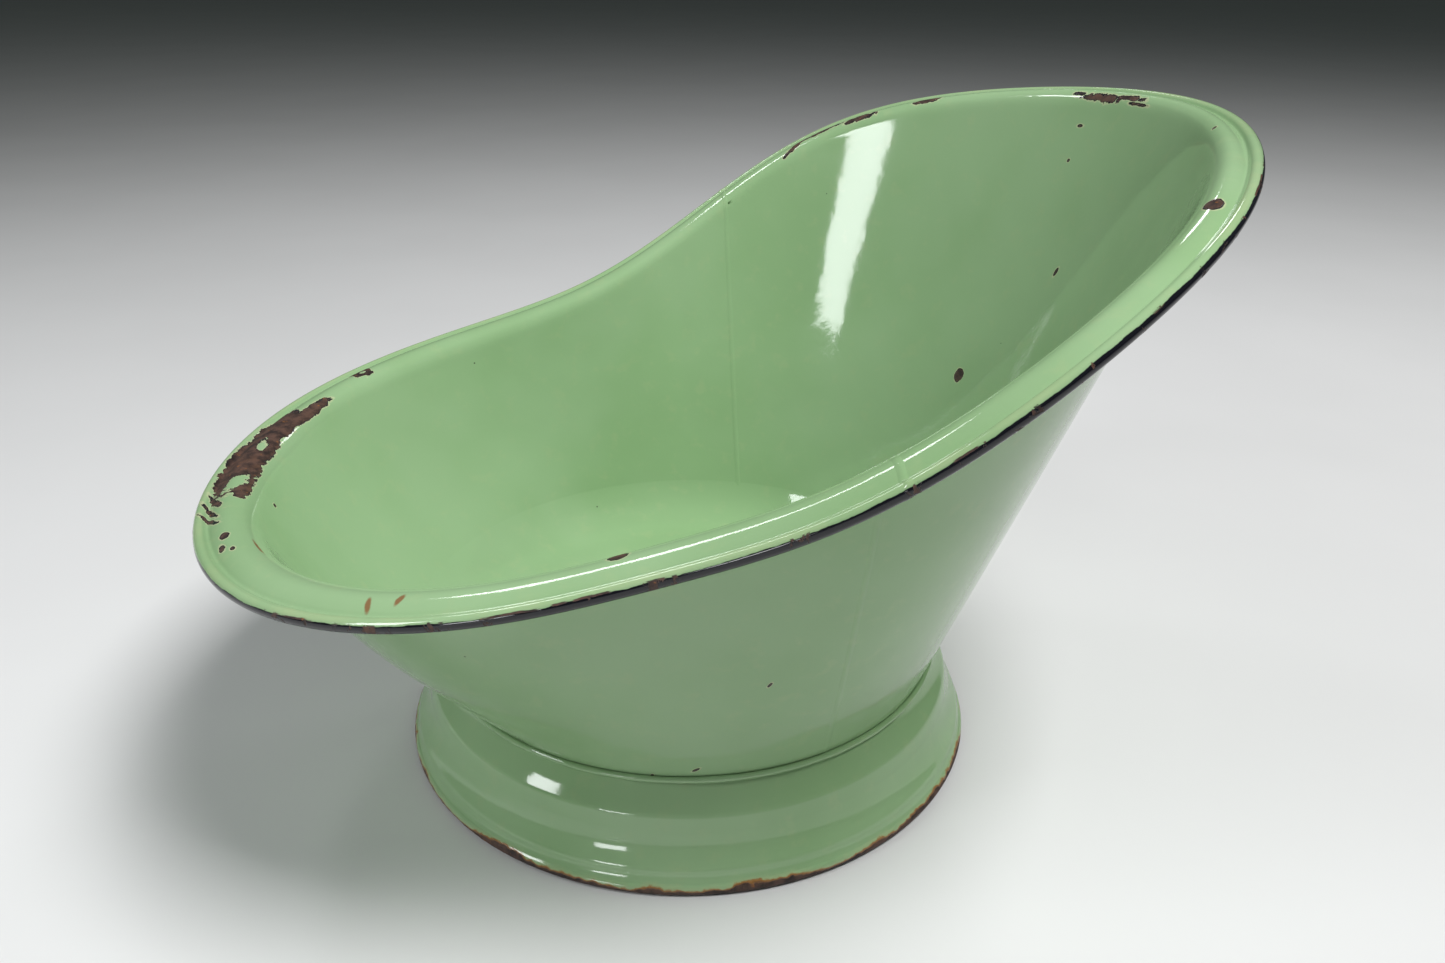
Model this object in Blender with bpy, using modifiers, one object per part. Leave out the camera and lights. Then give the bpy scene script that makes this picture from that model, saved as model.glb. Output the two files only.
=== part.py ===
# A slipper-shaped hip bath of enamelled sheet steel on a stepped round foot.
# +X points to the high back, +Y to the bather's left side, +Z up. The floor is Z = 0 and the origin
# is the middle of the bath's box on the floor. Metres.
import math

import bmesh
import bpy
from mathutils import Vector

mm = 0.001

# sheet, wires and fits
SHEET = 1.5 * mm  # steel with its enamel
GAP = 0.3 * mm  # between pieces that touch
RIM_WIRE_RADIUS = 1.8 * mm
FOOT_WIRE_RADIUS = 2.2 * mm

# outline of the crease where the wall turns into the flange, seen from above
CREASE_HALF_LENGTH = 318 * mm
CREASE_HALF_WIDTH = 272 * mm
CREASE_CENTRE_X = 16.5 * mm  # from the foot's axis towards the back
CREASE_SHAPE = (1, 0.96, 0.80, 0.80, 0.94, 0.965, 1)  # reach from the centre, each 30 degrees, front to back

# height of the rim along the bath: low at the front, sweeping up to the back
RIM_HEIGHT = 333.5 * mm  # at the middle of the sweep
RIM_SWEEP_HEIGHT = 73 * mm  # half of the sweep's rise
RIM_SWEEP_LENGTH = 138 * mm
RIM_SWEEP_X = 92 * mm
RIM_TILT = 0.152

# the flange outside the crease, measured across it
FLANGE_WIDTH = 33 * mm  # crease to outer edge, at the average
FLANGE_FRONT_EXTRA = 5 * mm
FLANGE_SIDE_EXTRA = 3 * mm
FLANGE_CROWN = 4.5 * mm
FLANGE_GROOVE = 9 * mm  # outer edge to the groove inside the rolled edge
RIM_ROLL_LIFT = -0.5 * mm  # the wire's centre above the flange's plane
CREASE_RADIUS = 7 * mm
WALL_LIFT = 0.6 * mm  # the wall's lower edge above the foot's ledge
FRONT_BELLY = 10 * mm  # the front wall bows out by this, the back wall is straight

# the stepped foot
FOOT_RADIUS = 215 * mm
FOOT_HEIGHT = 70 * mm
WAIST_RADIUS = 185 * mm  # where wall, pan and foot meet
LEDGE_WIDTH = 12 * mm
UPPER_STEP_HEIGHT = 11.5 * mm
UPPER_STEP_Z = 38.5 * mm
UPPER_STEP_RADIUS = 199.5 * mm
LOWER_STEP_HEIGHT = 11 * mm
LOWER_STEP_Z = 6.5 * mm
STEP_LEAN = 2.2 * mm  # each step's face leans out by this from top to bottom
COVE_DEPTH = 1.4 * mm  # hollow of the slope above each step

# pan, welds and seams
PAN_CURVE = 36 * mm  # reach of the pan's soft corner, in over its floor and up along the wall
PAN_SINK = 2 * mm  # its floor hangs this far into the foot's ledge
WAIST_WELD_RADIUS = 1.2 * mm
SEAM_X = 68 * mm  # where the seams' plane crosses the bath's middle, from the foot's axis
SEAM_SKEW = 0.05  # the seams' plane leans back by this towards the left side
SEAM_WIDTH = 3 * mm
SEAM_PROUD = 0.4 * mm  # stands out of the sheet on both faces
SEAM_FIT = GAP + SHEET / 10  # between a seam and the edges of the sheet beside it
WIRE_FIT = SEAM_PROUD + 2 * GAP  # between a wire and the edge rolled round it

AROUND = 80  # divisions round the bath, even
FOOT_STEPS = 64

ENAMEL_GREEN = (0.44, 0.62, 0.40, 1.0)
BARE_STEEL = (0.30, 0.28, 0.26, 1.0)


def crease_reach(angle):
    """A smooth closed curve through CREASE_SHAPE, as a sum of cosines: angle 0 is the front, pi the back."""
    last = len(CREASE_SHAPE) - 1
    reach = 0.0
    for wave in range(last + 1):
        weights = [0.5] + [1] * (last - 1) + [0.5]
        share = sum(w * r * math.cos(math.pi * wave * j / last) for j, (w, r) in enumerate(zip(weights, CREASE_SHAPE)))
        reach += weights[wave] * 2 / last * share * math.cos(wave * angle)
    return reach


CREASE_WIDEST = max(crease_reach(math.radians(a)) * math.sin(math.radians(a)) for a in range(180))


def crease_xy(angle):
    """The crease from above."""
    reach = crease_reach(angle)
    x = CREASE_CENTRE_X - CREASE_HALF_LENGTH * reach * math.cos(angle)
    return x, CREASE_HALF_WIDTH * reach * math.sin(angle) / CREASE_WIDEST


def rim_height(x):
    return RIM_HEIGHT + RIM_TILT * x + RIM_SWEEP_HEIGHT * math.tanh((x - RIM_SWEEP_X) / RIM_SWEEP_LENGTH)


def rim_slope(x):
    t = math.tanh((x - RIM_SWEEP_X) / RIM_SWEEP_LENGTH)
    return RIM_TILT + RIM_SWEEP_HEIGHT / RIM_SWEEP_LENGTH * (1 - t * t)


def rim_frame(angle):
    """The crease point, the direction out across the flange and the direction up from it."""
    step = 1e-4
    x, y = crease_xy(angle)
    ahead, behind = crease_xy(angle + step), crease_xy(angle - step)
    slope = rim_slope(x)
    run = Vector((ahead[0] - behind[0], ahead[1] - behind[1], slope * (ahead[0] - behind[0])))
    up = Vector((-slope, 0, 1)).normalized()
    return Vector((x, y, rim_height(x))), up.cross(run).normalized(), up


def flange_width(angle):
    return FLANGE_WIDTH + FLANGE_FRONT_EXTRA * math.cos(angle) - FLANGE_SIDE_EXTRA * math.cos(2 * angle)


def roll_radius(wire_radius):
    """Radius of the middle of the sheet where it is rolled round a wire."""
    return wire_radius + WIRE_FIT + SHEET / 2


def rim_wire_centre(angle):
    crease, out, up = rim_frame(angle)
    roll = roll_radius(RIM_WIRE_RADIUS)
    return crease + out * (flange_width(angle) - roll - SHEET / 2) + up * RIM_ROLL_LIFT


def flange_section(angle):
    """Offsets out and up from the crease, from just outside it to the end of the rolled edge."""
    groove = flange_width(angle) - FLANGE_GROOVE
    section = []
    for share in (0.14, 0.32, 0.5, 0.68, 0.84):
        section.append((groove * share, FLANGE_CROWN * math.sin(math.pi * share)))
    roll = roll_radius(RIM_WIRE_RADIUS)
    centre_out = flange_width(angle) - roll - SHEET / 2
    section.append((groove, -0.2 * mm))
    for turn in range(125, -140, -37):
        a = math.radians(turn)
        section.append((centre_out + roll * math.cos(a), RIM_ROLL_LIFT + roll * math.sin(a)))
    return section


def waist_point(angle):
    """The wall's lower edge, on the circle where it meets the foot."""
    radius = WAIST_RADIUS - SHEET / 2
    z = FOOT_HEIGHT + SHEET / 2 + WALL_LIFT
    return Vector((-radius * math.cos(angle), radius * math.sin(angle), z))


def wall_line(angle):
    """The wall's lower and upper end and how far it bows out between them."""
    crease, out, _ = rim_frame(angle)
    bottom = waist_point(angle)
    rise = (crease - bottom).normalized()
    top = crease - rise * CREASE_RADIUS
    swell = (out - rise * out.dot(rise)).normalized() * FRONT_BELLY * ((1 + math.cos(angle)) / 2) ** 2
    return bottom, top, swell


def body_section(angle):
    """The middle of the body sheet from the waist to the end of the rolled edge."""
    crease, out, up = rim_frame(angle)
    bottom, top, swell = wall_line(angle)
    points = [bottom.lerp(top, share) + swell * math.sin(math.pi * share) for share in (0, 0.25, 0.5, 0.75, 1)]
    flange = [crease + out * u + up * h for u, h in flange_section(angle)]
    points.append(crease.lerp((top + flange[0]) / 2, 0.5))  # the crease itself, rounded
    return points + flange


def pan_section(angle):
    """The middle of the pan's sheet from its floor out and up to where it meets the wall, clear of the seams."""
    bottom, top, swell = wall_line(angle)
    share = PAN_CURVE / (top - bottom).length
    along = (top - bottom + swell * math.pi * math.cos(math.pi * share)).normalized()
    outward = Vector((-math.cos(angle), math.sin(angle), 0))
    inward = (along * outward.dot(along) - outward).normalized()
    fit = SHEET + SEAM_PROUD + GAP
    end = bottom.lerp(top, share) + swell * math.sin(math.pi * share) + inward * fit
    floor = FOOT_HEIGHT + GAP + SHEET / 2 - PAN_SINK
    corner = end - along * ((end.z - floor) / along.z)
    start = outward * (WAIST_RADIUS - SHEET - PAN_CURVE)
    start.z = floor
    bend = [start.lerp(corner, t).lerp(corner.lerp(end, t), t) for t in (0, 0.17, 0.34, 0.5, 0.67, 0.84, 1)]
    return [Vector((start.x / 2, start.y / 2, floor))] + bend


def box_middle():
    """X of the middle of the rim, which is the bath's longest part."""
    lowest, highest = 0.0, 0.0
    for angle in (0, math.pi):
        _, out, _ = rim_frame(angle)
        reach = math.copysign(roll_radius(RIM_WIRE_RADIUS) + SHEET / 2, out.x)
        outer_edge = rim_wire_centre(angle).x + reach
        lowest, highest = min(lowest, outer_edge), max(highest, outer_edge)
    return (lowest + highest) / 2


def angles():
    return [2 * math.pi * i / AROUND for i in range(AROUND)]


def enamel_material(name, colour, roughness, metallic=0.0):
    material = bpy.data.materials.new(name)
    material.use_nodes = True
    shader = material.node_tree.nodes["Principled BSDF"]
    shader.inputs["Base Color"].default_value = colour
    shader.inputs["Roughness"].default_value = roughness
    shader.inputs["Metallic"].default_value = metallic
    return material


def link(name, data, material, parent):
    piece = bpy.data.objects.new(name, data)
    bpy.data.collections["hip_bath"].objects.link(piece)
    piece.data.materials.append(material)
    piece.parent = parent
    return piece


def smooth(mesh):
    mesh.shade_smooth()
    mesh.set_sharp_from_angle(angle=math.radians(40))


def loft(section):
    """One open surface through the sections at all angles."""
    surface = bmesh.new()
    rings = [[surface.verts.new(p) for p in section(a)] for a in angles()]
    for ring, following in zip(rings, rings[1:] + rings[:1]):
        for j in range(len(ring) - 1):
            surface.faces.new((ring[j], following[j], following[j + 1], ring[j + 1]))
    bmesh.ops.recalc_face_normals(surface, faces=surface.faces)
    return surface, rings


def keep_between(surface, low_x, high_x):
    """Cuts the surface along two upright planes across the bath and keeps what lies between them."""
    for x, side in ((low_x, -1), (high_x, 1)):
        bmesh.ops.bisect_plane(
            surface, geom=surface.verts[:] + surface.edges[:] + surface.faces[:], dist=1e-6,
            plane_co=(x, 0, 0), plane_no=(side, -side * SEAM_SKEW, 0), clear_outer=True)


def sheet_piece(name, surface, thickness, material, parent):
    mesh = bpy.data.meshes.new(name)
    surface.to_mesh(mesh)
    surface.free()
    smooth(mesh)
    piece = link(name, mesh, material, parent)
    solid = piece.modifiers.new("sheet", "SOLIDIFY")
    solid.thickness = thickness
    solid.offset = 0
    return piece


def body_piece(name, low_x, high_x, thickness, material, parent, side=0):
    """Part of the body sheet, which is a loft from the round waist to the egg-shaped rim."""
    surface, _ = loft(body_section)
    keep_between(surface, low_x, high_x)
    if side:
        other = [f for f in surface.faces if f.calc_center_median().y * side < 0]
        bmesh.ops.delete(surface, geom=other, context="FACES")
    return sheet_piece(name, surface, thickness, material, parent)


def pan_piece(name, material, parent):
    surface, rings = loft(pan_section)
    surface.faces.new([ring[0] for ring in rings])
    bmesh.ops.recalc_face_normals(surface, faces=surface.faces)
    return sheet_piece(name, surface, SHEET, material, parent)


def turned_piece(name, profile, material, parent, thickness=None):
    """Turns a profile of radius and height round the foot's axis."""
    mesh = bpy.data.meshes.new(name)
    edges = [(i, i + 1) for i in range(len(profile) - 1)]
    mesh.from_pydata([(r, 0, z) for r, z in profile], edges, [])
    piece = link(name, mesh, material, parent)
    screw = piece.modifiers.new("turn", "SCREW")
    screw.steps = screw.render_steps = FOOT_STEPS
    screw.use_merge_vertices = True
    screw.merge_threshold = 0.00005
    screw.use_smooth_shade = True
    if thickness:
        solid = piece.modifiers.new("sheet", "SOLIDIFY")
        solid.thickness = thickness
        solid.offset = 0
        solid.use_even_offset = True
    return piece


def arc(centre, radius, start, end, pieces):
    """Points round a centre, from start to end degrees."""
    turns = [math.radians(start + (end - start) * i / pieces) for i in range(pieces + 1)]
    return [(centre[0] + radius * math.cos(a), centre[1] + radius * math.sin(a)) for a in turns]


def cove(top, bottom, depth):
    """A slope from top to bottom, hollowed by depth, without its end points."""
    dr, dz = bottom[0] - top[0], bottom[1] - top[1]
    length = math.hypot(dr, dz)
    points = []
    for share in (0.25, 0.5, 0.75):
        hollow = depth * math.sin(math.pi * share)
        points.append((top[0] + dr * share + dz / length * hollow, top[1] + dz * share - dr / length * hollow))
    return points


def foot_roll_centre():
    roll = roll_radius(FOOT_WIRE_RADIUS)
    return FOOT_RADIUS - roll - SHEET / 2, roll * math.cos(math.radians(22.5)) + SHEET / 2


def foot_profile():
    """The middle of the foot's sheet, from the ledge under the pan down to the rolled edge."""
    top = FOOT_HEIGHT - SHEET / 2
    waist = (WAIST_RADIUS - SHEET, top)
    upper_bottom = (UPPER_STEP_RADIUS, UPPER_STEP_Z)
    upper_top = (UPPER_STEP_RADIUS - STEP_LEAN, UPPER_STEP_Z + UPPER_STEP_HEIGHT)
    centre = foot_roll_centre()
    roll = roll_radius(FOOT_WIRE_RADIUS)
    lower_bottom = (centre[0] + roll * math.cos(math.radians(67.5)), LOWER_STEP_Z + roll / 2)
    lower_top = (lower_bottom[0] - STEP_LEAN, LOWER_STEP_Z + LOWER_STEP_HEIGHT)
    profile = [(WAIST_RADIUS - SHEET - LEDGE_WIDTH, top), waist]
    profile += cove(waist, upper_top, COVE_DEPTH)
    profile += [upper_top, upper_bottom]
    profile += cove(upper_bottom, lower_top, COVE_DEPTH)
    profile += [lower_top]
    profile += arc(centre, roll, 67.5, -202.5, 6)
    return profile


def ring_curve(name, points, radius, material, parent):
    curve = bpy.data.curves.new(name, "CURVE")
    curve.dimensions = "3D"
    curve.bevel_depth = radius
    curve.bevel_resolution = 1
    spline = curve.splines.new("POLY")
    spline.points.add(len(points) - 1)
    for knot, point in zip(spline.points, points):
        knot.co = (*point, 1)
    spline.use_cyclic_u = True
    return link(name, curve, material, parent)


def circle_points(radius, z):
    turns = [2 * math.pi * i / FOOT_STEPS for i in range(FOOT_STEPS)]
    return [Vector((radius * math.cos(a), radius * math.sin(a), z)) for a in turns]


def build():
    for old in list(bpy.data.objects):
        bpy.data.objects.remove(old, do_unlink=True)
    parts = bpy.data.collections.new("hip_bath")
    bpy.context.scene.collection.children.link(parts)
    axis = bpy.data.objects.new("foot_axis", None)
    axis.location = (-box_middle(), 0, 0)
    parts.objects.link(axis)

    green = enamel_material("green_enamel", ENAMEL_GREEN, 0.15)
    steel = enamel_material("wire_steel", BARE_STEEL, 0.5, 1.0)

    far = CREASE_HALF_LENGTH + FLANGE_WIDTH + CREASE_HALF_WIDTH
    half_seam = SEAM_WIDTH / 2
    body_piece("front_shell", -far, SEAM_X - half_seam - SEAM_FIT, SHEET, green, axis)
    body_piece("back_shell", SEAM_X + half_seam + SEAM_FIT, far, SHEET, green, axis)
    for name, side in (("left_seam_weld", 1), ("right_seam_weld", -1)):
        thickness = SHEET + 2 * SEAM_PROUD
        body_piece(name, SEAM_X - half_seam, SEAM_X + half_seam, thickness, green, axis, side)

    pan_piece("bottom_pan", green, axis)
    turned_piece("foot_skirt", foot_profile(), green, axis, SHEET)
    weld_radius = WAIST_RADIUS + WAIST_WELD_RADIUS + 1.4 * mm
    ring_curve("waist_weld", circle_points(weld_radius, FOOT_HEIGHT), WAIST_WELD_RADIUS, green, axis)
    ring_curve("rim_wire", [rim_wire_centre(a) for a in angles()], RIM_WIRE_RADIUS, steel, axis)
    wire_radius, wire_z = foot_roll_centre()
    ring_curve("foot_wire", circle_points(wire_radius, wire_z), FOOT_WIRE_RADIUS, steel, axis)


build()
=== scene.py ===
# An enamelled hip bath: high back, low front, flared rim rolled over a wire, stepped round foot.
# +X is the high back, +Z is up, the floor is Z = 0. Metres.
import math

import bmesh
import bpy
from mathutils import Matrix, Vector, noise


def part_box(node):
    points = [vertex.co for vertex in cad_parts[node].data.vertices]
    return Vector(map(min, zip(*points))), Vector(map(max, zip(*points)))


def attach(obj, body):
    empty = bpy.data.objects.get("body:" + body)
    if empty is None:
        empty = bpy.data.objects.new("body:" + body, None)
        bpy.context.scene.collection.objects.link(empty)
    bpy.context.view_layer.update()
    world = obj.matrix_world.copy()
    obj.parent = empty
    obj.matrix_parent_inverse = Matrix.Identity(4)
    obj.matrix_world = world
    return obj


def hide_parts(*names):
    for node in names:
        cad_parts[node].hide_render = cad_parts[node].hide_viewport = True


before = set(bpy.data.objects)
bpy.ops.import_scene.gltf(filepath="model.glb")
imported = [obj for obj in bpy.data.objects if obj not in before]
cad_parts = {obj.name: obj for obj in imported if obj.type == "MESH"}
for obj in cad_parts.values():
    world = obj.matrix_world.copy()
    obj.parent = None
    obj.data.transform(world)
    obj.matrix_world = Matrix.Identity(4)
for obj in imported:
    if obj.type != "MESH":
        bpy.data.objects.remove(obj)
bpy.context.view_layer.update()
footLow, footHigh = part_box("foot_skirt")
axisX = (footLow.x + footHigh.x) / 2  # the foot's axis, which the sheet metal is laid out from
print("frame loaded, foot axis at x", round(axisX, 4))

mm = 0.001


class Graph:
    # a material's nodes, added a line at a time

    def __init__(self, name):
        self.material = bpy.data.materials.new(name)
        self.material.use_nodes = True
        self.nodes = self.material.node_tree.nodes
        self.links = self.material.node_tree.links
        self.shader = self.nodes["Principled BSDF"]
        self.place = self.add("ShaderNodeTexCoord").outputs["Object"]

    def add(self, kind, **settings):
        made = self.nodes.new(kind)
        for name, value in settings.items():
            setattr(made, name, value)
        return made

    def feed(self, socket, value):
        if isinstance(value, bpy.types.NodeSocket):
            self.links.new(value, socket)
        else:
            socket.default_value = value

    def math(self, operation, *values, clamp=False):
        made = self.add("ShaderNodeMath", operation=operation, use_clamp=clamp)
        for socket, value in zip(made.inputs, values):
            self.feed(socket, value)
        return made.outputs[0]

    def vector(self, operation, *values):
        made = self.add("ShaderNodeVectorMath", operation=operation)
        for socket, value in zip(made.inputs, values):
            self.feed(socket, value)
        return made.outputs["Value" if operation in ("LENGTH", "DISTANCE") else "Vector"]

    def noise(self, scale, detail=2.0, roughness=0.5, vector=None, distortion=0.0):
        made = self.add("ShaderNodeTexNoise")
        self.feed(made.inputs["Vector"], vector or self.place)
        made.inputs["Scale"].default_value = scale
        made.inputs["Detail"].default_value = detail
        made.inputs["Roughness"].default_value = roughness
        made.inputs["Distortion"].default_value = distortion
        return made.outputs["Fac"]

    def span(self, value, fromLow, fromHigh, toLow=0.0, toHigh=1.0):
        made = self.add("ShaderNodeMapRange", interpolation_type="SMOOTHSTEP")
        for name, given in (("Value", value), ("From Min", fromLow), ("From Max", fromHigh),
                            ("To Min", toLow), ("To Max", toHigh)):
            self.feed(made.inputs[name], given)
        return made.outputs["Result"]

    def blend(self, share, first, second, blendType="MIX"):
        made = self.add("ShaderNodeMix", data_type="RGBA", blend_type=blendType)
        self.feed(made.inputs["Factor"], share)
        for socket, value in ((made.inputs[6], first), (made.inputs[7], second)):
            self.feed(socket, (*value, 1.0) if isinstance(value, tuple) else value)
        return made.outputs[2]

    def attribute(self, name):
        return self.add("ShaderNodeAttribute", attribute_name=name).outputs["Fac"]

    def flat(self, x, y):
        made = self.add("ShaderNodeCombineXYZ")
        self.feed(made.inputs["X"], x)
        self.feed(made.inputs["Y"], y)
        return made.outputs[0]


enamel = {
    "green": (0.295, 0.45, 0.245),
    "deepGreen": (0.25, 0.405, 0.20),
    "thinCoatAndSheenGreen": (0.40, 0.47, 0.25),  # yellower where the coat is thin; also the painted sheen on the rolled edge's top
    "groundCoat": (0.012, 0.014, 0.02),
    "haloCream": (0.55, 0.56, 0.34),
    "rustBrown": (0.10, 0.055, 0.041),
    "rustRed": (0.13, 0.065, 0.04),
    "rustDark": (0.028, 0.018, 0.016),
    "rustOrange": (0.30, 0.115, 0.03),
    "stain": (0.22, 0.08, 0.03),
    "edgeBlack": (0.008, 0.008, 0.012),
    "roughness": 0.075,
    "chipDepth": 0.35 * mm,
}


def chipField(g, sheetPlace, chips, ragged):
    # distance outside the nearest chip, in metres, negative inside it
    field = None
    for chip in chips:
        local = g.add("ShaderNodeMapping", vector_type="TEXTURE")
        g.feed(local.inputs["Vector"], sheetPlace)
        long, wide = chip["long"] * mm, chip["wide"] * mm
        local.inputs["Location"].default_value = (chip["around"] * mm, chip["across"] * mm, 0)
        local.inputs["Rotation"].default_value = (0, 0, math.radians(chip.get("turn", 0)))
        local.inputs["Scale"].default_value = (long, wide, 1)
        size = min(long, wide)
        reach = g.math("MULTIPLY_ADD", g.vector("LENGTH", local.outputs[0]), size, -size)
        reach = g.math("MULTIPLY_ADD", ragged, chip.get("ragged", 0.3 * min(chip["long"], chip["wide"])) * mm, reach)
        if chip.get("kept"):  # an island of enamel left inside a chip
            field = g.math("MAXIMUM", field, g.math("MULTIPLY", reach, -1.0))
        else:
            field = reach if field is None else g.math("MINIMUM", field, reach)
    return field


def enamelMaterial(name, sheetPlace=None, chips=(), stains=(), edge=None, footRust=False, crestSheen=None):
    g = Graph(name)
    place = sheetPlace(g) if sheetPlace else g.place
    cloud = g.noise(5.0, 3.0, 0.55)
    mottle = g.noise(70.0, 3.0, 0.6)
    ragged = g.math("MULTIPLY_ADD", g.noise(150.0, 5.0, 0.66), 3.4, -1.7)

    green = g.blend(g.span(cloud, 0.35, 0.68), enamel["green"], enamel["deepGreen"])
    green = g.blend(g.span(mottle, 0.52, 0.75, 0.0, 0.16), green, enamel["thinCoatAndSheenGreen"])
    # painted sheen: paler, yellower green on the rolled edge's top
    if crestSheen:
        green = g.blend(crestSheen(g), green, enamel["thinCoatAndSheenGreen"])
    specks = g.add("ShaderNodeTexVoronoi")
    g.feed(specks.inputs["Vector"], g.place)
    specks.inputs["Scale"].default_value = 34.0
    dots = g.math("MULTIPLY", g.span(specks.outputs["Distance"], 0.018, 0.03, 1.0, 0.0),
                  g.span(g.noise(9.0, 1.0), 0.56, 0.6))
    green = g.blend(g.math("MULTIPLY", dots, 0.8), green, enamel["rustDark"])
    if stains:
        stain = g.span(chipField(g, place, stains, ragged), -0.4 * mm, 0.5 * mm, 0.85, 0.0)
        green = g.blend(stain, green, enamel["stain"])

    gone = None  # 1 where the coat is broken away to rusty steel
    colour = green
    gloss = 0.0
    if edge:
        black, worn = edge(g)
        colour = g.blend(black, colour, enamel["edgeBlack"])
        gone = worn
    if chips:
        field = chipField(g, place, chips, ragged)
        halo = g.span(field, 0.1 * mm, 1.3 * mm, 0.75, 0.0)
        colour = g.blend(halo, colour, enamel["haloCream"])
        ground = g.span(field, 0.0, 0.35 * mm, 1.0, 0.0)
        colour = g.blend(ground, colour, enamel["groundCoat"])
        chipped = g.span(field, -0.75 * mm, -0.2 * mm, 1.0, 0.0)
        gone = g.math("MAXIMUM", gone, chipped) if gone else chipped
    if footRust:
        height = g.add("ShaderNodeSeparateXYZ")
        g.feed(height.inputs[0], g.place)
        rise = g.math("SUBTRACT", height.outputs["Z"], g.span(g.noise(16.0, 4.0, 0.7), 0.38, 0.70, 4.2 * mm, 8.5 * mm))
        rise = g.math("MULTIPLY_ADD", ragged, 0.9 * mm, rise)
        colour = g.blend(g.span(rise, -0.5 * mm, 3.5 * mm, 0.55, 0.0), colour, enamel["thinCoatAndSheenGreen"])
        colour = g.blend(g.span(rise, 0.0, 1.1 * mm, 0.9, 0.0), colour, enamel["rustOrange"])
        lost = g.span(rise, -1.0 * mm, 0.1 * mm, 1.0, 0.0)
        gone = g.math("MAXIMUM", gone, lost) if gone else lost

    if gone:
        rust = g.blend(g.span(g.noise(120.0, 4.0, 0.7), 0.35, 0.65), enamel["rustBrown"], enamel["rustDark"])
        rust = g.blend(g.span(g.noise(45.0, 3.0, 0.6), 0.55, 0.72, 0.0, 0.7), rust, enamel["rustRed"])
        rust = g.blend(g.span(g.noise(230.0, 2.0, 0.6), 0.66, 0.74, 0.0, 0.7), rust, enamel["rustOrange"])
        colour = g.blend(gone, colour, rust)
        gloss = gone
        roughness = g.span(gone, 0.0, 1.0, enamel["roughness"], 0.72)
        g.feed(g.shader.inputs["Roughness"], roughness)
    else:
        g.shader.inputs["Roughness"].default_value = enamel["roughness"]
    g.feed(g.shader.inputs["Base Color"], colour)
    g.shader.inputs["IOR"].default_value = 1.52

    ripple = g.math("MULTIPLY", g.noise(38.0, 2.0, 0.5), 0.22 * mm)
    peel = g.math("MULTIPLY_ADD", g.noise(210.0, 2.0, 0.6), 0.03 * mm, ripple)
    if gone:
        grain = g.math("MULTIPLY", g.noise(600.0, 3.0, 0.7), 0.25 * mm)
        sunk = g.math("MULTIPLY", gone, g.math("SUBTRACT", grain, enamel["chipDepth"]))
        peel = g.math("ADD", peel, sunk)
    bump = g.add("ShaderNodeBump")
    bump.inputs["Distance"].default_value = 1.0
    bump.inputs["Strength"].default_value = 1.0
    g.feed(bump.inputs["Height"], peel)
    g.feed(g.shader.inputs["Normal"], bump.outputs[0])
    return g.material


def onSheet(g):
    return g.flat(g.attribute("around"), g.attribute("across"))


def rimCrestSheen(g):
    # painted sheen: the rolled edge's top is painted paler and yellower where its crest would catch the light, patchy
    # with noise
    roll = g.attribute("roll")
    top = g.math("MULTIPLY", g.span(roll, 0.0, 0.12), g.span(roll, 0.45, 0.3))
    return g.math("MULTIPLY", top, g.span(g.noise(24.0, 3.0, 0.6), 0.35, 0.7, 0.05, 0.4))


def blackEdge(g):
    # black coat on the rolled edge's outer side, starting further round the roll on the left side
    roll = g.attribute("roll")
    where = g.add("ShaderNodeSeparateXYZ")
    g.feed(where.inputs[0], g.place)
    start = g.span(where.outputs["Y"], -0.12, 0.02, 0.40, 0.56)
    start = g.math("MULTIPLY_ADD", g.noise(42.0, 4.0, 0.65), 0.16, g.math("SUBTRACT", start, 0.08))
    black = g.span(g.math("SUBTRACT", roll, start), -0.012, 0.012)
    patches = g.span(g.noise(55.0, 5.0, 0.7, distortion=0.6), 0.575, 0.60)
    ridge = g.math("MULTIPLY", patches, g.span(g.math("SUBTRACT", roll, start), -0.05, -0.02))
    line = g.span(g.noise(26.0, 3.0, 0.6), 0.56, 0.60)  # thin brown wear along the black coat's upper edge
    line = g.math("MULTIPLY", line, g.span(g.math("ABSOLUTE", g.math("SUBTRACT", roll, start)), 0.035, 0.02))
    return black, g.math("MAXIMUM", ridge, line)


sheet = {"thickness": 1.5 * mm, "gap": 0.3 * mm, "steps": 360, "waistRadius": 185 * mm, "waistHeight": 71.35 * mm,
         "belly": 10 * mm, "creaseRadius": 7 * mm, "waves": 0.35 * mm}
crease = {"halfLength": 318 * mm, "halfWidth": 272 * mm, "centreX": 16.5 * mm,
          "shape": (1, 0.96, 0.80, 0.80, 0.94, 0.965, 1)}  # reach each 30 degrees, front to back
rim = {"height": 333.5 * mm, "sweepHeight": 73 * mm, "sweepLength": 138 * mm, "sweepX": 92 * mm, "tilt": 0.152,
       "flange": 33 * mm, "frontExtra": 5 * mm, "sideExtra": 3 * mm, "crown": 4.5 * mm, "groove": 9 * mm,
       "rollLift": -0.5 * mm, "wireRadius": 1.8 * mm, "wireFit": 1.0 * mm,
       "crownStart": 0.14, "crownEnd": 0.88, "rollFrom": 140, "rollTurn": 265}
rows = {"wall": 44, "crease": 7, "crown": 18, "groove": 5, "roll": 18}


def creaseReach(angle):
    # smooth closed curve through the reaches, as a sum of cosines: 0 is the front, pi the back
    last = len(crease["shape"]) - 1
    reach = 0.0
    weights = [0.5] + [1] * (last - 1) + [0.5]
    for wave in range(last + 1):
        share = sum(w * r * math.cos(math.pi * wave * j / last)
                    for j, (w, r) in enumerate(zip(weights, crease["shape"])))
        reach += weights[wave] * 2 / last * share * math.cos(wave * angle)
    return reach


creaseWidest = max(creaseReach(math.radians(a)) * math.sin(math.radians(a)) for a in range(180))


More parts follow.
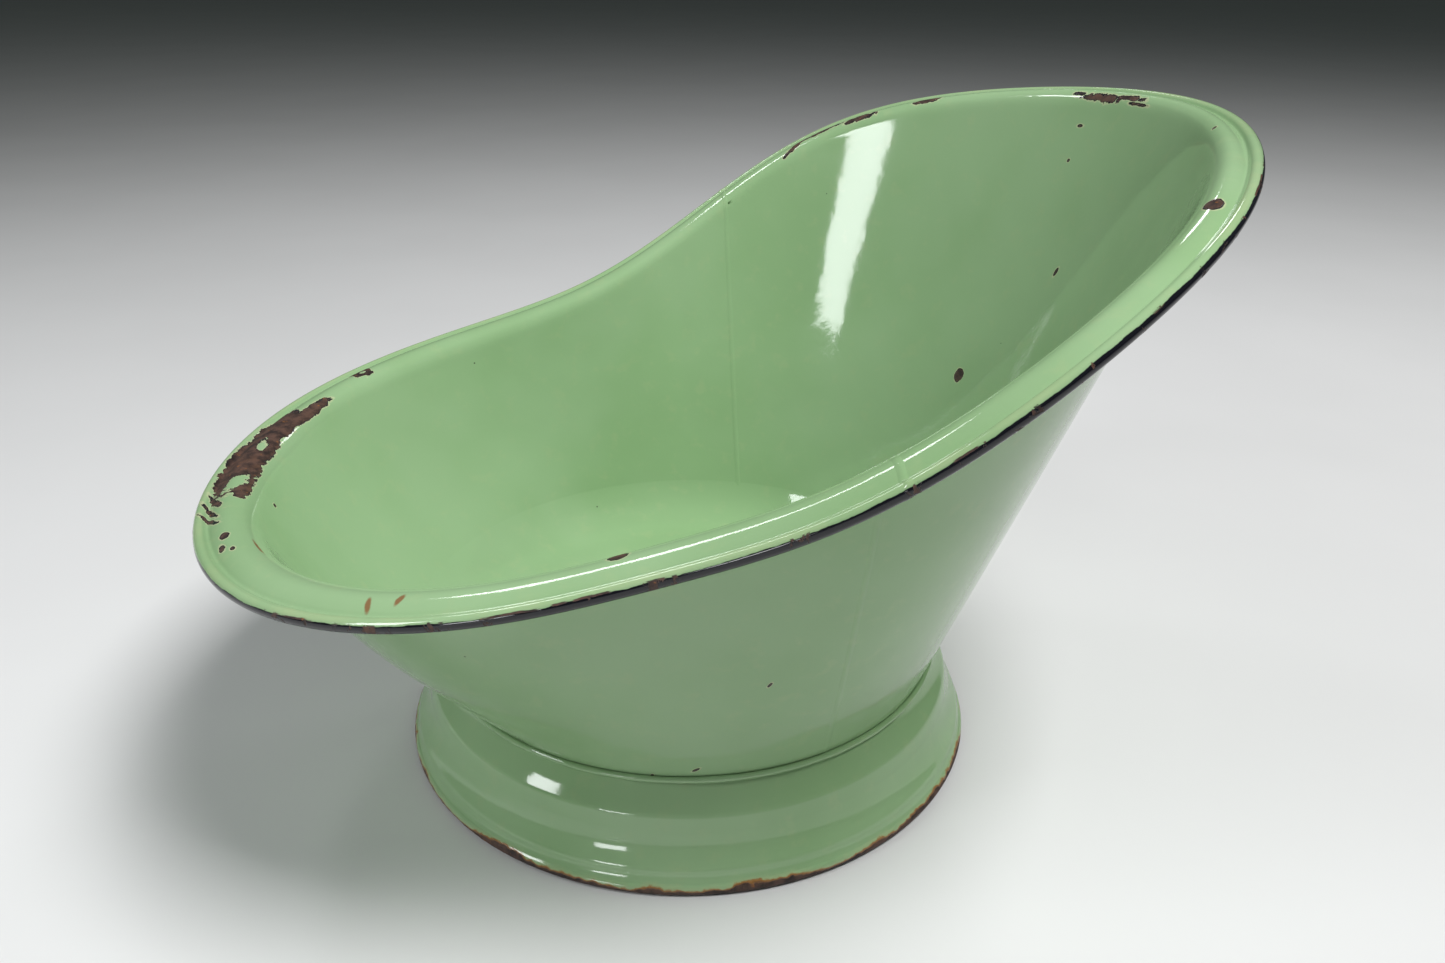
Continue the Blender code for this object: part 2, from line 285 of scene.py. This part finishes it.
def creaseXY(angle):
    reach = creaseReach(angle)
    return (crease["centreX"] - crease["halfLength"] * reach * math.cos(angle),
            crease["halfWidth"] * reach * math.sin(angle) / creaseWidest)


def rimSweep(x):
    return math.tanh((x - rim["sweepX"]) / rim["sweepLength"])


def rimFrame(angle):
    # crease point, direction out across the flange, direction up from it
    step = 1e-4
    x, y = creaseXY(angle)
    ahead, behind = creaseXY(angle + step), creaseXY(angle - step)
    slope = rim["tilt"] + rim["sweepHeight"] / rim["sweepLength"] * (1 - rimSweep(x) ** 2)
    run = Vector((ahead[0] - behind[0], ahead[1] - behind[1], slope * (ahead[0] - behind[0])))
    up = Vector((-slope, 0, 1)).normalized()
    height = rim["height"] + rim["tilt"] * x + rim["sweepHeight"] * rimSweep(x)
    return Vector((x, y, height)), up.cross(run).normalized(), up


def rollCentre(angle):
    # the wire's centre, out and up from the crease, and the radius of the sheet's middle round it
    roll = rim["wireRadius"] + rim["wireFit"] + sheet["thickness"] / 2
    width = rim["flange"] + rim["frontExtra"] * math.cos(angle) - rim["sideExtra"] * math.cos(2 * angle)
    return width - roll - sheet["thickness"] / 2, rim["rollLift"], roll


def curve3(first, middle, last, share):
    return first.lerp(middle, share).lerp(middle.lerp(last, share), share)


def bathSection(angle):
    # the sheet's middle from waist to rolled edge: place, distance out from the crease, share of the roll
    start, out, up = rimFrame(angle)
    radius = sheet["waistRadius"] - sheet["thickness"] / 2
    bottom = Vector((-radius * math.cos(angle), radius * math.sin(angle), sheet["waistHeight"]))
    rise = (start - bottom).normalized()
    top = start - rise * sheet["creaseRadius"]
    swell = (out - rise * out.dot(rise)).normalized() * sheet["belly"] * ((1 + math.cos(angle)) / 2) ** 2
    centreOut, centreUp, roll = rollCentre(angle)
    groove = centreOut + roll + sheet["thickness"] / 2 - rim["groove"]

    def crown(share):
        return start + out * groove * share + up * rim["crown"] * math.sin(math.pi * share)

    def rolled(degrees):
        a = math.radians(degrees)
        return start + out * (centreOut + roll * math.cos(a)) + up * (centreUp + roll * math.sin(a))

    section = []
    length = (top - bottom).length
    crownStart, crownEnd, rollTurn = rim["crownStart"], rim["crownEnd"], rim["rollTurn"]
    for i in range(rows["wall"]):
        share = i / rows["wall"]
        place = bottom.lerp(top, share) + swell * math.sin(math.pi * share)
        section.append((place, -sheet["creaseRadius"] - length * (1 - share), 0))
    for i in range(rows["crease"]):
        share = i / rows["crease"]
        across = -sheet["creaseRadius"] * (1 - share) + crownStart * groove * share
        section.append((curve3(top, start, crown(crownStart), share), across, 0))
    for i in range(rows["crown"]):
        share = crownStart + (crownEnd - crownStart) * i / rows["crown"]
        section.append((crown(share), groove * share, 0))
    valley = start + out * (groove - 0.1 * mm) - up * 0.8 * mm
    for i in range(rows["groove"]):
        share = i / rows["groove"]
        place = curve3(crown(crownEnd), valley, rolled(rim["rollFrom"]), share)
        section.append((place, groove * (crownEnd + 0.2 * share), 0))
    for i in range(rows["roll"] + 1):
        share = i / rows["roll"]
        across = groove * (crownEnd + 0.2) + roll * math.radians(rollTurn) * share
        section.append((rolled(rim["rollFrom"] - rollTurn * share), across, share))
    return section


def layStations():
    # the section at each division of the rim, and the length along the crease from the front
    points = [Vector((*creaseXY(2 * math.pi * i / sheet["steps"]), 0)) for i in range(sheet["steps"] + 1)]
    lengths = [0.0]
    for a, b in zip(points, points[1:]):
        lengths.append(lengths[-1] + (b - a).length)
    return [bathSection(2 * math.pi * i / sheet["steps"]) for i in range(sheet["steps"])], lengths


sections, rimLengths = layStations()
print("rim laid out,", round(rimLengths[-1], 3), "m round")


def handWork(place, outward, across):
    # hand-worked sheet is never quite true: how far it stands off its true shape
    ease = min(1, max(0, -across) / 0.03) * min(1, max(0, place.z - sheet["waistHeight"]) / 0.03)
    return outward * noise.noise(place * 8.5) * sheet["waves"] * ease


def pressSheet(middle):
    # a flat ring of sheet, spun from one row of points, then pressed to the bath's shape
    bm = bmesh.new()
    count = sum(rows.values()) + 1
    row = [bm.verts.new((j + 1, 0, 0)) for j in range(count)]
    for a, b in zip(row, row[1:]):
        bm.edges.new((a, b))
    bmesh.ops.spin(bm, geom=bm.verts[:] + bm.edges[:], cent=(0, 0, 0), axis=(0, 0, 1), angle=2 * math.pi,
                   steps=sheet["steps"], use_merge=True)
    layers = [bm.verts.layers.float.new(name) for name in ("around", "across", "roll")]
    for v in bm.verts:
        turn = math.atan2(v.co.y, v.co.x)
        station = round((middle + turn) / (2 * math.pi) * sheet["steps"]) % sheet["steps"]
        along = rimLengths[min(station, sheet["steps"] - station)]
        if middle:  # the back's is measured from its own middle
            along = rimLengths[sheet["steps"] // 2] - along
        along = math.copysign(along, math.sin(middle + turn))  # positive on the left side
        point, across, roll = sections[station][round(v.co.to_2d().length) - 1]
        v.co = point + Vector((axisX, 0, 0))
        v[layers[0]], v[layers[1]], v[layers[2]] = along, across, roll
        v.co += handWork(v.co, Vector((point.x, point.y, 0)).normalized(), across)
    bmesh.ops.recalc_face_normals(bm, faces=bm.faces)
    low = min(bm.faces, key=lambda f: f.calc_center_median().z)
    if low.normal.dot(low.calc_center_median() - Vector((axisX, 0, 0.1))) > 0:
        bmesh.ops.reverse_faces(bm, faces=bm.faces)  # faces look into the bath
    return bm


def cutAcross(bm, x, side, clear=True):
    # along the seams' plane moved to x, keeping what is behind it
    geometry = bm.verts[:] + bm.edges[:] + bm.faces[:]
    bmesh.ops.bisect_plane(bm, geom=geometry, dist=1e-6, plane_co=(axisX + x, 0, 0),
                           plane_no=(side, -side * seam["skew"], 0), clear_outer=clear)


def finishPiece(name, bm, materials, stands, thickness=None):
    for edge in bm.edges:
        edge.smooth = not edge.is_boundary
    for face in bm.faces:
        face.smooth = True
    mesh = bpy.data.meshes.new(name)
    bm.to_mesh(mesh)
    bm.free()
    piece = bpy.data.objects.new(name, mesh)
    bpy.context.scene.collection.objects.link(piece)
    for material in materials:
        mesh.materials.append(material)
    if thickness:
        wall = piece.modifiers.new("sheet", "SOLIDIFY")
        wall.thickness = thickness
        wall.offset = 0
        wall.use_even_offset = True
        wall.material_offset = len(materials) - 1
    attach(piece, "root")
    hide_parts(stands)
    print("made", name, len(mesh.polygons), "faces")
    return piece


def thinWhere(piece, groupName, share):
    # the sheet's thickness follows the weights, down to this share of it
    piece.vertex_groups.new(name=groupName)
    piece.modifiers["sheet"].vertex_group = groupName
    piece.modifiers["sheet"].thickness_vertex_group = share


seam = {"x": 68 * mm, "skew": 0.05, "width": 5.4 * mm, "proud": 0.4 * mm, "edgeShare": 0.5}

frontChips = (
    # the long bare patch on the front of the flange, with islands of enamel
    {"around": 86, "across": 14, "long": 30, "wide": 14.5, "ragged": 2.6},
    {"around": 50, "across": 14, "long": 40, "wide": 16, "ragged": 2.6},
    {"around": 14, "across": 14, "long": 34, "wide": 15, "ragged": 4.0},
    {"around": -12, "across": 6, "long": 12, "wide": 6, "ragged": 3.0},
    {"around": 116, "across": 4, "long": 27, "wide": 5.5, "ragged": 2.0},
    {"around": 58, "across": 10, "long": 9, "wide": 3.2, "turn": 12, "ragged": 2.6, "kept": True},
    {"around": -2, "across": 12, "long": 13, "wide": 6.0, "turn": -20, "ragged": 4.0, "kept": True},
    {"around": -22, "across": 22, "long": 13, "wide": 2.0, "turn": 24, "ragged": 1.8},
    {"around": -33, "across": 25, "long": 12, "wide": 1.6, "turn": 24, "ragged": 1.6},
    {"around": -46, "across": 25, "long": 10, "wide": 1.5, "turn": 32, "ragged": 1.4},
    {"around": -80, "across": 16, "long": 4.2, "wide": 3.0},
    {"around": -94, "across": 20, "long": 3.6, "wide": 1.7, "ragged": 1.2},
    {"around": -101, "across": 15, "long": 2.2, "wide": 1.3},
    {"around": 185, "across": 14, "long": 9, "wide": 8, "ragged": 3.6},
    {"around": 186, "across": 13, "long": 3, "wide": 2.4, "ragged": 1.0, "kept": True},
    {"around": -358, "across": 8.5, "long": 5.6, "wide": 4.0, "ragged": 0.8},
    {"around": -3, "across": -19, "long": 1.6, "wide": 1.3},
)
frontStains = (
    {"around": -229, "across": 20, "long": 1.6, "wide": 4.6, "turn": 18},
    {"around": -245, "across": 16, "long": 1.8, "wide": 4.2, "turn": -16},
    {"around": -106, "across": 2, "long": 11, "wide": 0.9},
    {"around": -262, "across": 1.5, "long": 8, "wide": 0.7},
    {"around": -305, "across": 2, "long": 12, "wide": 0.8},
)
frontOuterChips = (
    {"around": -460, "across": -151, "long": 1.5, "wide": 1.5},
    {"around": -378, "across": -203, "long": 1.2, "wide": 1.2},
    {"around": -414, "across": -210, "long": 2.6, "wide": 1.2},
)
backChips = (
    {"around": 94, "across": -229, "long": 6.4, "wide": 5.6, "turn": 30, "ragged": 1.2},
    {"around": 25, "across": -130, "long": 1.8, "wide": 3.4, "turn": 15},
    {"around": 72, "across": -20, "long": 2.4, "wide": 1.1},
    {"around": 69, "across": -47, "long": 1.3, "wide": 1.3},
    {"around": -239, "across": 11, "long": 6.6, "wide": 4.6, "ragged": 0.8},
    {"around": -97, "across": 5, "long": 1.4, "wide": 1.2},
    {"around": 63, "across": 1, "long": 18, "wide": 3.6, "ragged": 2.4},
    {"around": 36, "across": 3, "long": 16, "wide": 1.8, "ragged": 1.6},
    {"around": 22, "across": -1, "long": 9, "wide": 1.2, "ragged": 1.0},
    {"around": 86, "across": 4, "long": 5, "wide": 1.4, "ragged": 1.0},
    {"around": 230, "across": 9, "long": 11, "wide": 3.4, "ragged": 2.2},
    {"around": 289, "across": 8, "long": 12, "wide": 3.4, "ragged": 2.4},
    {"around": 320, "across": 11, "long": 14, "wide": 2.0, "ragged": 1.8},
    {"around": 346, "across": 8, "long": 10, "wide": 2.6, "turn": -25, "ragged": 2.0},
)

frontInside = enamelMaterial("frontInsideEnamel", onSheet, frontChips, frontStains, blackEdge, crestSheen=rimCrestSheen)
frontOutside = enamelMaterial("frontOutsideEnamel", onSheet, frontOuterChips)
backInside = enamelMaterial("backInsideEnamel", onSheet, backChips, (), blackEdge, crestSheen=rimCrestSheen)
plainEnamel = enamelMaterial("plainEnamel")
seamEnamel = enamelMaterial("seamEnamel", onSheet, (), (), blackEdge, crestSheen=rimCrestSheen)

frontSheet = pressSheet(0.0)
cutAcross(frontSheet, seam["x"] - seam["width"] / 3, 1)
finishPiece("frontShell", frontSheet, [frontInside, frontOutside], "front_shell", sheet["thickness"])

backSheet = pressSheet(math.pi)
cutAcross(backSheet, seam["x"] + seam["width"] / 3, -1)
finishPiece("backShell", backSheet, [backInside, plainEnamel], "back_shell", sheet["thickness"])


def makeSeam(name, side, stands):
    bm = pressSheet(0.0)
    half = seam["width"] / 2
    cutAcross(bm, seam["x"] + half, 1)
    cutAcross(bm, seam["x"] - half, -1)
    away = [f for f in bm.faces if f.calc_center_median().y * side < 0]
    bmesh.ops.delete(bm, geom=away, context="FACES")
    for share in (-0.6, 0.0, 0.6):
        cutAcross(bm, seam["x"] + half * share, 1, clear=False)
    groups = bm.verts.layers.deform.new()
    for v in bm.verts:  # thick along its middle, sunk into the sheet at its edges
        off = abs(v.co.x - axisX - seam["x"] - seam["skew"] * v.co.y) / half
        pits = 0.12 * noise.noise(v.co * 160)
        v[groups][0] = min(1, max(0, (1 - off ** 2) * (0.85 + pits)))
    full = sheet["thickness"] + 2 * seam["proud"]
    piece = finishPiece(name, bm, [seamEnamel], stands, full)
    thinWhere(piece, "middle", seam["edgeShare"])


makeSeam("leftSeam", 1, "left_seam_weld")
makeSeam("rightSeam", -1, "right_seam_weld")

foot = {"radius": 215 * mm, "height": 70 * mm, "ledge": 12 * mm, "upperHeight": 11.5 * mm, "upperZ": 38.5 * mm,
        "upperRadius": 199.5 * mm, "lowerHeight": 11 * mm, "lowerZ": 6.5 * mm, "lean": 2.2 * mm, "cove": 1.4 * mm,
        "wireRadius": 2.2 * mm, "steps": 300, "shoulder": 2.0 * mm, "valley": 1.0 * mm}


def spinRound(bm, steps, close=True):
    bmesh.ops.spin(bm, geom=bm.verts[:] + bm.edges[:], cent=(axisX, 0, 0), axis=(0, 0, 1),
                   angle=2 * math.pi, steps=steps, use_merge=close)
    bmesh.ops.remove_doubles(bm, verts=bm.verts, dist=0.02 * mm)
    bmesh.ops.recalc_face_normals(bm, faces=bm.faces)


def chain(bm, profile):
    made = [bm.verts.new((axisX + r, 0, z)) for r, z in profile]
    for a, b in zip(made, made[1:]):
        bm.edges.new((a, b))


def roundRing(bm, radius, z, amount):
    # rounds the ring of edges at this radius and height
    ring = [e for e in bm.edges if all(abs(math.hypot(v.co.x - axisX, v.co.y) - radius) < 0.05 * mm
                                       and abs(v.co.z - z) < 0.05 * mm for v in e.verts)]
    bmesh.ops.bevel(bm, geom=ring, offset=amount, offset_type="OFFSET", segments=5, profile=0.5, affect="EDGES",
                    material=-1, clamp_overlap=True)


def makeFoot():
    half = sheet["thickness"] / 2
    top = foot["height"] - half
    waist = (sheet["waistRadius"] - sheet["thickness"], top)
    roll = foot["wireRadius"] + rim["wireFit"] + half
    centre = (foot["radius"] - roll - half, roll * math.cos(math.radians(22.5)) + half)
    upperBottom = (foot["upperRadius"], foot["upperZ"])
    upperTop = (foot["upperRadius"] - foot["lean"], foot["upperZ"] + foot["upperHeight"])
    lowerBottom = (centre[0] + roll * math.cos(math.radians(67.5)), foot["lowerZ"] + roll / 2)
    lowerTop = (lowerBottom[0] - foot["lean"], foot["lowerZ"] + foot["lowerHeight"])

    def cove(first, last):
        a, b = Vector(first), Vector(last)
        hollow = Vector((b.y - a.y, a.x - b.x)).normalized() * foot["cove"]
        return [tuple(a.lerp(b, s) + hollow * math.sin(math.pi * s)) for s in (0.2, 0.4, 0.6, 0.8)]

    profile = [(waist[0] - foot["ledge"], top), waist, *cove(waist, upperTop), upperTop, upperBottom]
    profile += [*cove(upperBottom, lowerTop), lowerTop]
    for i in range(25):
        a = math.radians(67.5 - 270 * i / 24)
        profile.append((centre[0] + roll * math.cos(a), centre[1] + roll * math.sin(a)))
    bm = bmesh.new()
    chain(bm, profile)
    spinRound(bm, foot["steps"])
    for ring, amount in ((waist, 1.2 * mm), (upperTop, foot["shoulder"]), (upperBottom, foot["valley"]),
                         (lowerTop, foot["shoulder"])):
        roundRing(bm, *ring, amount)
    return bm


footEnamel = enamelMaterial("footEnamel", footRust=True)
finishPiece("footSkirt", makeFoot(), [footEnamel], "foot_skirt", sheet["thickness"])

pan = {"curve": 36 * mm, "sink": 2 * mm, "floorRows": 9, "bendRows": 18, "edgeShare": 0.6}


def panSection(angle):
    # the pan's middle from its floor out and up into the wall, which it is welded and coated into
    wallRows = sections[round(angle / (2 * math.pi) * sheet["steps"]) % sheet["steps"]][:rows["wall"]]
    lengths = [across - wallRows[0][1] for _, across, _ in wallRows]
    last = next(i for i, length in enumerate(lengths) if length >= pan["curve"])
    share = (pan["curve"] - lengths[last - 1]) / (lengths[last] - lengths[last - 1])
    along = (wallRows[last][0] - wallRows[last - 1][0]).normalized()
    outward = Vector((-math.cos(angle), math.sin(angle), 0))
    inward = (along * outward.dot(along) - outward).normalized()
    end = wallRows[last - 1][0].lerp(wallRows[last][0], share) + inward * 0.1 * mm
    floorHeight = foot["height"] + sheet["gap"] + sheet["thickness"] / 2 - pan["sink"]
    corner = end - along * ((end.z - floorHeight) / along.z)
    start = outward * (sheet["waistRadius"] - sheet["thickness"] - pan["curve"])
    start.z = floorHeight
    section = []
    for i in range(pan["floorRows"]):
        share = 0.05 + 0.95 * i / pan["floorRows"]
        section.append((Vector((start.x * share, start.y * share, floorHeight)), 0))
    for i in range(pan["bendRows"] + 1):
        share = i / pan["bendRows"]
        section.append((curve3(start, corner, end, share), share))
    return section


def makePan():
    bm = bmesh.new()
    count = pan["floorRows"] + pan["bendRows"] + 1
    row = [bm.verts.new((j + 1, 0, 0)) for j in range(count)]
    for a, b in zip(row, row[1:]):
        bm.edges.new((a, b))
    bmesh.ops.spin(bm, geom=bm.verts[:] + bm.edges[:], cent=(0, 0, 0), axis=(0, 0, 1), angle=2 * math.pi,
                   steps=sheet["steps"], use_merge=True)
    bmesh.ops.holes_fill(bm, edges=[e for e in bm.edges if e.is_boundary and e.verts[0].co.length < 1.5], sides=0)
    groups = bm.verts.layers.deform.new()
    pressed = {}
    for v in bm.verts:
        station = round(math.atan2(v.co.y, v.co.x) / (2 * math.pi) * sheet["steps"]) % sheet["steps"]
        if station not in pressed:
            pressed[station] = panSection(2 * math.pi * station / sheet["steps"])
        point, bend = pressed[station][round(v.co.to_2d().length) - 1]
        v[groups][0] = 1 if bend < 0.8 else (1 - bend) / 0.2
        v.co = point + Vector((axisX, 0, 0))
        v.co += handWork(v.co, Vector((point.x, point.y, 0)).normalized(), -0.2) * bend
    bmesh.ops.recalc_face_normals(bm, faces=bm.faces)
    return bm


panEnamel = enamelMaterial("panEnamel")
bottomPan = finishPiece("bottomPan", makePan(), [panEnamel], "bottom_pan", sheet["thickness"])


thinWhere(bottomPan, "full", pan["edgeShare"])

weld = {"radius": 2.1 * mm, "ringRadius": 186.6 * mm, "height": 70.2 * mm, "rough": 0.25 * mm, "steps": 320}


def makeRing(ringRadius, height, radius, segments, steps):
    bm = bmesh.new()
    turn = Matrix.Rotation(math.pi / 2, 4, "X")
    place = Matrix.Translation((axisX + ringRadius, 0, height))
    bmesh.ops.create_circle(bm, cap_ends=False, segments=segments, radius=radius, matrix=place @ turn)
    spinRound(bm, steps)
    return bm


def makeWeld():
    bm = makeRing(weld["ringRadius"], weld["height"], weld["radius"], 14, weld["steps"])
    for v in bm.verts:  # laid by hand, so never even
        v.co += v.normal * weld["rough"] * noise.noise(v.co * 60)
    return bm


finishPiece("waistBead", makeWeld(), [plainEnamel], "waist_weld")


def steelMaterial(name):
    g = Graph(name)
    colour = g.blend(g.span(g.noise(90.0, 4.0, 0.6), 0.4, 0.62), (0.2, 0.19, 0.18), enamel["rustBrown"])
    g.feed(g.shader.inputs["Base Color"], colour)
    g.feed(g.shader.inputs["Roughness"], g.span(g.noise(140.0, 3.0, 0.6), 0.3, 0.7, 0.35, 0.7))
    g.shader.inputs["Metallic"].default_value = 0.85
    bump = g.add("ShaderNodeBump")
    bump.inputs["Distance"].default_value = 0.08 * mm
    g.feed(bump.inputs["Height"], g.noise(420.0, 3.0, 0.6))
    g.feed(g.shader.inputs["Normal"], bump.outputs[0])
    return g.material


wireSteel = steelMaterial("wireSteel")


def makeRimWire():
    # a true ring first, then laid along the rolled edge
    ringRadius = 0.3
    bm = makeRing(ringRadius, 0, rim["wireRadius"], 12, sheet["steps"])
    for v in bm.verts:
        angle = math.atan2(v.co.y, -(v.co.x - axisX))
        start, out, up = rimFrame(angle)
        centreOut, centreUp, _ = rollCentre(angle)
        aside = math.hypot(v.co.x - axisX, v.co.y) - ringRadius
        v.co = start + out * (centreOut + aside) + up * (centreUp + v.co.z) + Vector((axisX, 0, 0))
    bmesh.ops.recalc_face_normals(bm, faces=bm.faces)
    return bm


finishPiece("rimWire", makeRimWire(), [wireSteel], "rim_wire")
footRoll = foot["wireRadius"] + rim["wireFit"] + sheet["thickness"] / 2
footWire = makeRing(foot["radius"] - footRoll - sheet["thickness"] / 2,
                    footRoll * math.cos(math.radians(22.5)) + sheet["thickness"] / 2, foot["wireRadius"], 12, 256)
finishPiece("footWire", footWire, [wireSteel], "foot_wire")

studio = {
    "floor": (0.72, 0.72, 0.72),
    "worldColour": (0.30, 0.36, 0.34),
    "worldStrength": 0.11,
}


def makeFloor():
    bm = bmesh.new()
    bmesh.ops.create_grid(bm, x_segments=1, y_segments=1, size=30)
    mesh = bpy.data.meshes.new("floor")
    bm.to_mesh(mesh)
    bm.free()
    floor = bpy.data.objects.new("floor", mesh)
    bpy.context.scene.collection.objects.link(floor)
    g = Graph("paleFloor")
    colour = g.blend(g.span(g.noise(2.5, 3.0), 0.35, 0.65, 0.0, 0.5), studio["floor"], (0.69, 0.69, 0.69))
    g.feed(g.shader.inputs["Base Color"], colour)
    g.shader.inputs["Roughness"].default_value = 0.55
    mesh.materials.append(g.material)


def softbox(name, place, aim, width, height, power, colour=(1, 1, 1), roll=0.0, mirrored=True):
    light = bpy.data.lights.new(name, "AREA")
    light.shape = "RECTANGLE"
    light.size, light.size_y = width, height
    light.energy = power
    light.color = colour
    holder = bpy.data.objects.new(name, light)
    bpy.context.scene.collection.objects.link(holder)
    holder.visible_glossy = mirrored
    look = (Vector(aim) - Vector(place)).to_track_quat("-Z", "Y").to_matrix().to_4x4()
    holder.matrix_world = Matrix.Translation(place) @ look @ Matrix.Rotation(math.radians(roll), 4, "Z")


makeFloor()
world = bpy.data.worlds.new("studio")
world.use_nodes = True
backdrop = world.node_tree.nodes["Background"]
backdrop.inputs["Color"].default_value = (*studio["worldColour"], 1)
backdrop.inputs["Strength"].default_value = studio["worldStrength"]
bpy.context.scene.world = world
softbox("overhead", (1.2, -0.85, 3.4), (0, -0.1, 0.2), 1.5, 1.5, 148, mirrored=False)
softbox("window", (-2.0, -0.52, 1.62), (0.15, 0.2, 0.3), 0.48, 1.05, 22, (0.96, 0.98, 1.0), 27)
softbox("smallWindow", (-1.9, -2.45, 0.48), (-0.09, -0.19, 0.03), 0.6, 0.34, 8, (0.96, 0.98, 1.0))
softbox("farWindow", (-0.98, 1.43, 2.07), (-0.13, -0.25, 0.25), 0.30, 0.30, 4, (0.96, 0.98, 1.0))
softbox("backWindow", (0.95, 1.80, 1.75), (0.22, -0.23, 0.43), 0.36, 0.30, 3, (0.96, 0.98, 1.0))

camera = {"place": (-0.14279, -0.75916, 0.55552), "heading": 0.20291, "down": 0.41124, "roll": 0.00908,
          "lens": 28.615, "shiftY": -0.0239}
lens = bpy.data.cameras.new("camera")
lens.lens = camera["lens"]
lens.sensor_width = 36
lens.shift_y = camera["shiftY"]
lens.clip_start = 0.01
viewer = bpy.data.objects.new("camera", lens)
bpy.context.scene.collection.objects.link(viewer)
viewer.matrix_world = (Matrix.Translation(camera["place"]) @ Matrix.Rotation(-camera["heading"], 4, "Z")
                       @ Matrix.Rotation(math.pi / 2 - camera["down"], 4, "X")
                       @ Matrix.Rotation(camera["roll"], 4, "Z"))
bpy.context.scene.camera = viewer
bpy.context.scene.view_settings.view_transform = "Standard"
